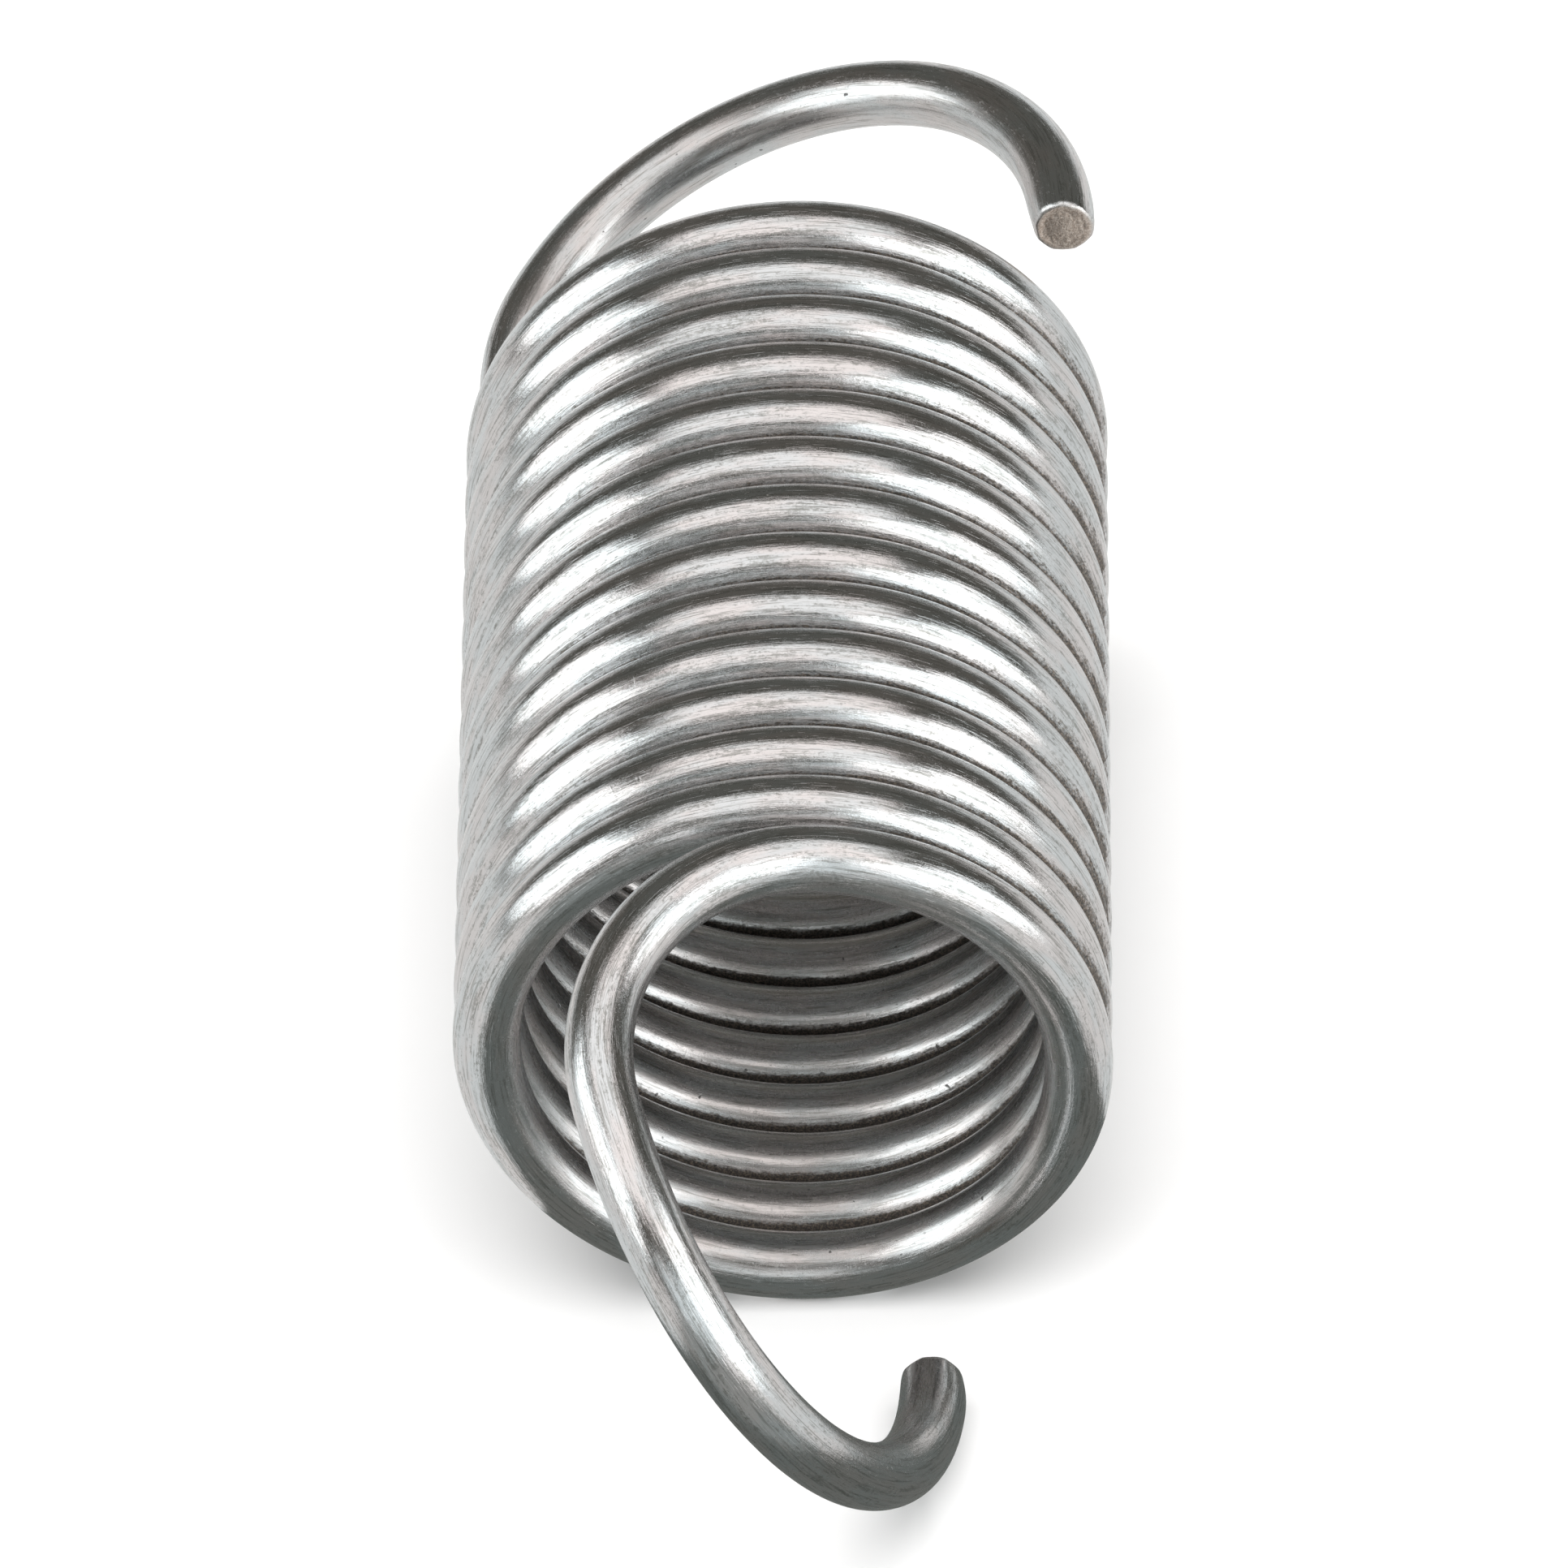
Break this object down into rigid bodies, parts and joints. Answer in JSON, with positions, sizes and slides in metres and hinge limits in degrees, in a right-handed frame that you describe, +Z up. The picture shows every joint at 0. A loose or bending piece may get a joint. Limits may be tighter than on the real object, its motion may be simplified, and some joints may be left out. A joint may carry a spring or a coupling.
{
  "type": "extension spring",
  "caption": "Close-wound extension spring bent from round wire, with an open hook at each end; it stretches and bends sideways.",
  "frame": {"origin": "on the surface that the spring lies on, under its axis, halfway along the coil", "axes": "+Z up; the spring's axis runs along Y, the front hook towards -Y and the rear hook towards +Y; +X is the right side seen from the front hook"},
  "size_m": [0.0194, 0.0568, 0.0196],
  "materials": {
    "spring_wire": "bright drawn spring steel: fine lines along the wire, rubbed dull on the outside of the coil, grey-brown between the turns"
  },
  "bodies": {
    "rear_hook": {"rear_hook": "spring_wire"},
    "turn_01_upper": {"turn_01_upper": "spring_wire"},
    "turn_01_lower": {"turn_01_lower": "spring_wire"},
    "turn_02_upper": {"turn_02_upper": "spring_wire"},
    "turn_02_lower": {"turn_02_lower": "spring_wire"},
    "turn_03_upper": {"turn_03_upper": "spring_wire"},
    "turn_03_lower": {"turn_03_lower": "spring_wire"},
    "turn_04_upper": {"turn_04_upper": "spring_wire"},
    "turn_04_lower": {"turn_04_lower": "spring_wire"},
    "turn_05_upper": {"turn_05_upper": "spring_wire"},
    "turn_05_lower": {"turn_05_lower": "spring_wire"},
    "turn_06_upper": {"turn_06_upper": "spring_wire"},
    "turn_06_lower": {"turn_06_lower": "spring_wire"},
    "turn_07_upper": {"turn_07_upper": "spring_wire"},
    "turn_07_lower": {"turn_07_lower": "spring_wire"},
    "turn_08_upper": {"turn_08_upper": "spring_wire"},
    "turn_08_lower": {"turn_08_lower": "spring_wire"},
    "turn_09_upper": {"turn_09_upper": "spring_wire"},
    "turn_09_lower": {"turn_09_lower": "spring_wire"},
    "turn_10_upper": {"turn_10_upper": "spring_wire"},
    "turn_10_lower": {"turn_10_lower": "spring_wire"},
    "turn_11_upper": {"turn_11_upper": "spring_wire"},
    "turn_11_lower": {"turn_11_lower": "spring_wire"},
    "turn_12_upper": {"turn_12_upper": "spring_wire"},
    "turn_12_lower": {"turn_12_lower": "spring_wire"},
    "turn_13_upper": {"turn_13_upper": "spring_wire"},
    "turn_13_lower": {"turn_13_lower": "spring_wire"},
    "front_hook": {"front_hook": "spring_wire"}
  },
  "joints": [
    {"name": "flex_right_00", "type": "hinge", "parent": "rear_hook", "child": "turn_01_upper", "pos_m": [0.00865, 0.01346, 0.00967], "axis": [0, 0, 1], "range_deg": [0, 6], "stiffness_Nm_per_rad": 4.4},
    {"name": "flex_left_01", "type": "hinge", "parent": "turn_01_upper", "child": "turn_01_lower", "pos_m": [-0.00865, 0.01241, 0.00967], "axis": [0, 0, -1], "range_deg": [0, 12], "stiffness_Nm_per_rad": 4.4},
    {"name": "flex_right_01", "type": "hinge", "parent": "turn_01_lower", "child": "turn_02_upper", "pos_m": [0.00865, 0.01136, 0.00967], "axis": [0, 0, 1], "range_deg": [0, 12], "stiffness_Nm_per_rad": 4.4},
    {"name": "flex_left_02", "type": "hinge", "parent": "turn_02_upper", "child": "turn_02_lower", "pos_m": [-0.00865, 0.01031, 0.00967], "axis": [0, 0, -1], "range_deg": [0, 12], "stiffness_Nm_per_rad": 4.4},
    {"name": "flex_right_02", "type": "hinge", "parent": "turn_02_lower", "child": "turn_03_upper", "pos_m": [0.00865, 0.00926, 0.00967], "axis": [0, 0, 1], "range_deg": [0, 12], "stiffness_Nm_per_rad": 4.4},
    {"name": "flex_left_03", "type": "hinge", "parent": "turn_03_upper", "child": "turn_03_lower", "pos_m": [-0.00865, 0.00821, 0.00967], "axis": [0, 0, -1], "range_deg": [0, 12], "stiffness_Nm_per_rad": 4.4},
    {"name": "flex_right_03", "type": "hinge", "parent": "turn_03_lower", "child": "turn_04_upper", "pos_m": [0.00865, 0.00716, 0.00967], "axis": [0, 0, 1], "range_deg": [0, 12], "stiffness_Nm_per_rad": 4.4},
    {"name": "flex_left_04", "type": "hinge", "parent": "turn_04_upper", "child": "turn_04_lower", "pos_m": [-0.00865, 0.00611, 0.00967], "axis": [0, 0, -1], "range_deg": [0, 12], "stiffness_Nm_per_rad": 4.4},
    {"name": "flex_right_04", "type": "hinge", "parent": "turn_04_lower", "child": "turn_05_upper", "pos_m": [0.00865, 0.00506, 0.00967], "axis": [0, 0, 1], "range_deg": [0, 12], "stiffness_Nm_per_rad": 4.4},
    {"name": "flex_left_05", "type": "hinge", "parent": "turn_05_upper", "child": "turn_05_lower", "pos_m": [-0.00865, 0.00401, 0.00967], "axis": [0, 0, -1], "range_deg": [0, 12], "stiffness_Nm_per_rad": 4.4},
    {"name": "flex_right_05", "type": "hinge", "parent": "turn_05_lower", "child": "turn_06_upper", "pos_m": [0.00865, 0.00296, 0.00967], "axis": [0, 0, 1], "range_deg": [0, 12], "stiffness_Nm_per_rad": 4.4},
    {"name": "flex_left_06", "type": "hinge", "parent": "turn_06_upper", "child": "turn_06_lower", "pos_m": [-0.00865, 0.00191, 0.00967], "axis": [0, 0, -1], "range_deg": [0, 12], "stiffness_Nm_per_rad": 4.4},
    {"name": "flex_right_06", "type": "hinge", "parent": "turn_06_lower", "child": "turn_07_upper", "pos_m": [0.00865, 0.00086, 0.00967], "axis": [0, 0, 1], "range_deg": [0, 12], "stiffness_Nm_per_rad": 4.4},
    {"name": "flex_left_07", "type": "hinge", "parent": "turn_07_upper", "child": "turn_07_lower", "pos_m": [-0.00865, -0.00019, 0.00967], "axis": [0, 0, -1], "range_deg": [0, 12], "stiffness_Nm_per_rad": 4.4},
    {"name": "flex_right_07", "type": "hinge", "parent": "turn_07_lower", "child": "turn_08_upper", "pos_m": [0.00865, -0.00124, 0.00967], "axis": [0, 0, 1], "range_deg": [0, 12], "stiffness_Nm_per_rad": 4.4},
    {"name": "flex_left_08", "type": "hinge", "parent": "turn_08_upper", "child": "turn_08_lower", "pos_m": [-0.00865, -0.00229, 0.00967], "axis": [0, 0, -1], "range_deg": [0, 12], "stiffness_Nm_per_rad": 4.4},
    {"name": "flex_right_08", "type": "hinge", "parent": "turn_08_lower", "child": "turn_09_upper", "pos_m": [0.00865, -0.00334, 0.00967], "axis": [0, 0, 1], "range_deg": [0, 12], "stiffness_Nm_per_rad": 4.4},
    {"name": "flex_left_09", "type": "hinge", "parent": "turn_09_upper", "child": "turn_09_lower", "pos_m": [-0.00865, -0.00439, 0.00967], "axis": [0, 0, -1], "range_deg": [0, 12], "stiffness_Nm_per_rad": 4.4},
    {"name": "flex_right_09", "type": "hinge", "parent": "turn_09_lower", "child": "turn_10_upper", "pos_m": [0.00865, -0.00544, 0.00967], "axis": [0, 0, 1], "range_deg": [0, 12], "stiffness_Nm_per_rad": 4.4},
    {"name": "flex_left_10", "type": "hinge", "parent": "turn_10_upper", "child": "turn_10_lower", "pos_m": [-0.00865, -0.00649, 0.00967], "axis": [0, 0, -1], "range_deg": [0, 12], "stiffness_Nm_per_rad": 4.4},
    {"name": "flex_right_10", "type": "hinge", "parent": "turn_10_lower", "child": "turn_11_upper", "pos_m": [0.00865, -0.00754, 0.00967], "axis": [0, 0, 1], "range_deg": [0, 12], "stiffness_Nm_per_rad": 4.4},
    {"name": "flex_left_11", "type": "hinge", "parent": "turn_11_upper", "child": "turn_11_lower", "pos_m": [-0.00865, -0.00859, 0.00967], "axis": [0, 0, -1], "range_deg": [0, 12], "stiffness_Nm_per_rad": 4.4},
    {"name": "flex_right_11", "type": "hinge", "parent": "turn_11_lower", "child": "turn_12_upper", "pos_m": [0.00865, -0.00964, 0.00967], "axis": [0, 0, 1], "range_deg": [0, 12], "stiffness_Nm_per_rad": 4.4},
    {"name": "flex_left_12", "type": "hinge", "parent": "turn_12_upper", "child": "turn_12_lower", "pos_m": [-0.00865, -0.01069, 0.00967], "axis": [0, 0, -1], "range_deg": [0, 12], "stiffness_Nm_per_rad": 4.4},
    {"name": "flex_right_12", "type": "hinge", "parent": "turn_12_lower", "child": "turn_13_upper", "pos_m": [0.00865, -0.01174, 0.00967], "axis": [0, 0, 1], "range_deg": [0, 12], "stiffness_Nm_per_rad": 4.4},
    {"name": "flex_left_13", "type": "hinge", "parent": "turn_13_upper", "child": "turn_13_lower", "pos_m": [-0.00865, -0.01279, 0.00967], "axis": [0, 0, -1], "range_deg": [0, 12], "stiffness_Nm_per_rad": 4.4},
    {"name": "flex_right_13", "type": "hinge", "parent": "turn_13_lower", "child": "front_hook", "pos_m": [0.00865, -0.01384, 0.00967], "axis": [0, 0, 1], "range_deg": [0, 6], "stiffness_Nm_per_rad": 4.4}
  ],
  "couplings": [
    {"joint": "flex_right_00", "follows": "flex_right_07", "ratio": 0.5},
    {"joint": "flex_left_01", "follows": "flex_left_07", "ratio": 1},
    {"joint": "flex_right_01", "follows": "flex_right_07", "ratio": 1},
    {"joint": "flex_left_02", "follows": "flex_left_07", "ratio": 1},
    {"joint": "flex_right_02", "follows": "flex_right_07", "ratio": 1},
    {"joint": "flex_left_03", "follows": "flex_left_07", "ratio": 1},
    {"joint": "flex_right_03", "follows": "flex_right_07", "ratio": 1},
    {"joint": "flex_left_04", "follows": "flex_left_07", "ratio": 1},
    {"joint": "flex_right_04", "follows": "flex_right_07", "ratio": 1},
    {"joint": "flex_left_05", "follows": "flex_left_07", "ratio": 1},
    {"joint": "flex_right_05", "follows": "flex_right_07", "ratio": 1},
    {"joint": "flex_left_06", "follows": "flex_left_07", "ratio": 1},
    {"joint": "flex_right_06", "follows": "flex_right_07", "ratio": 1},
    {"joint": "flex_left_08", "follows": "flex_left_07", "ratio": 1},
    {"joint": "flex_right_08", "follows": "flex_right_07", "ratio": 1},
    {"joint": "flex_left_09", "follows": "flex_left_07", "ratio": 1},
    {"joint": "flex_right_09", "follows": "flex_right_07", "ratio": 1},
    {"joint": "flex_left_10", "follows": "flex_left_07", "ratio": 1},
    {"joint": "flex_right_10", "follows": "flex_right_07", "ratio": 1},
    {"joint": "flex_left_11", "follows": "flex_left_07", "ratio": 1},
    {"joint": "flex_right_11", "follows": "flex_right_07", "ratio": 1},
    {"joint": "flex_left_12", "follows": "flex_left_07", "ratio": 1},
    {"joint": "flex_right_12", "follows": "flex_right_07", "ratio": 1},
    {"joint": "flex_left_13", "follows": "flex_left_07", "ratio": 1},
    {"joint": "flex_right_13", "follows": "flex_right_07", "ratio": 0.5}
  ]
}
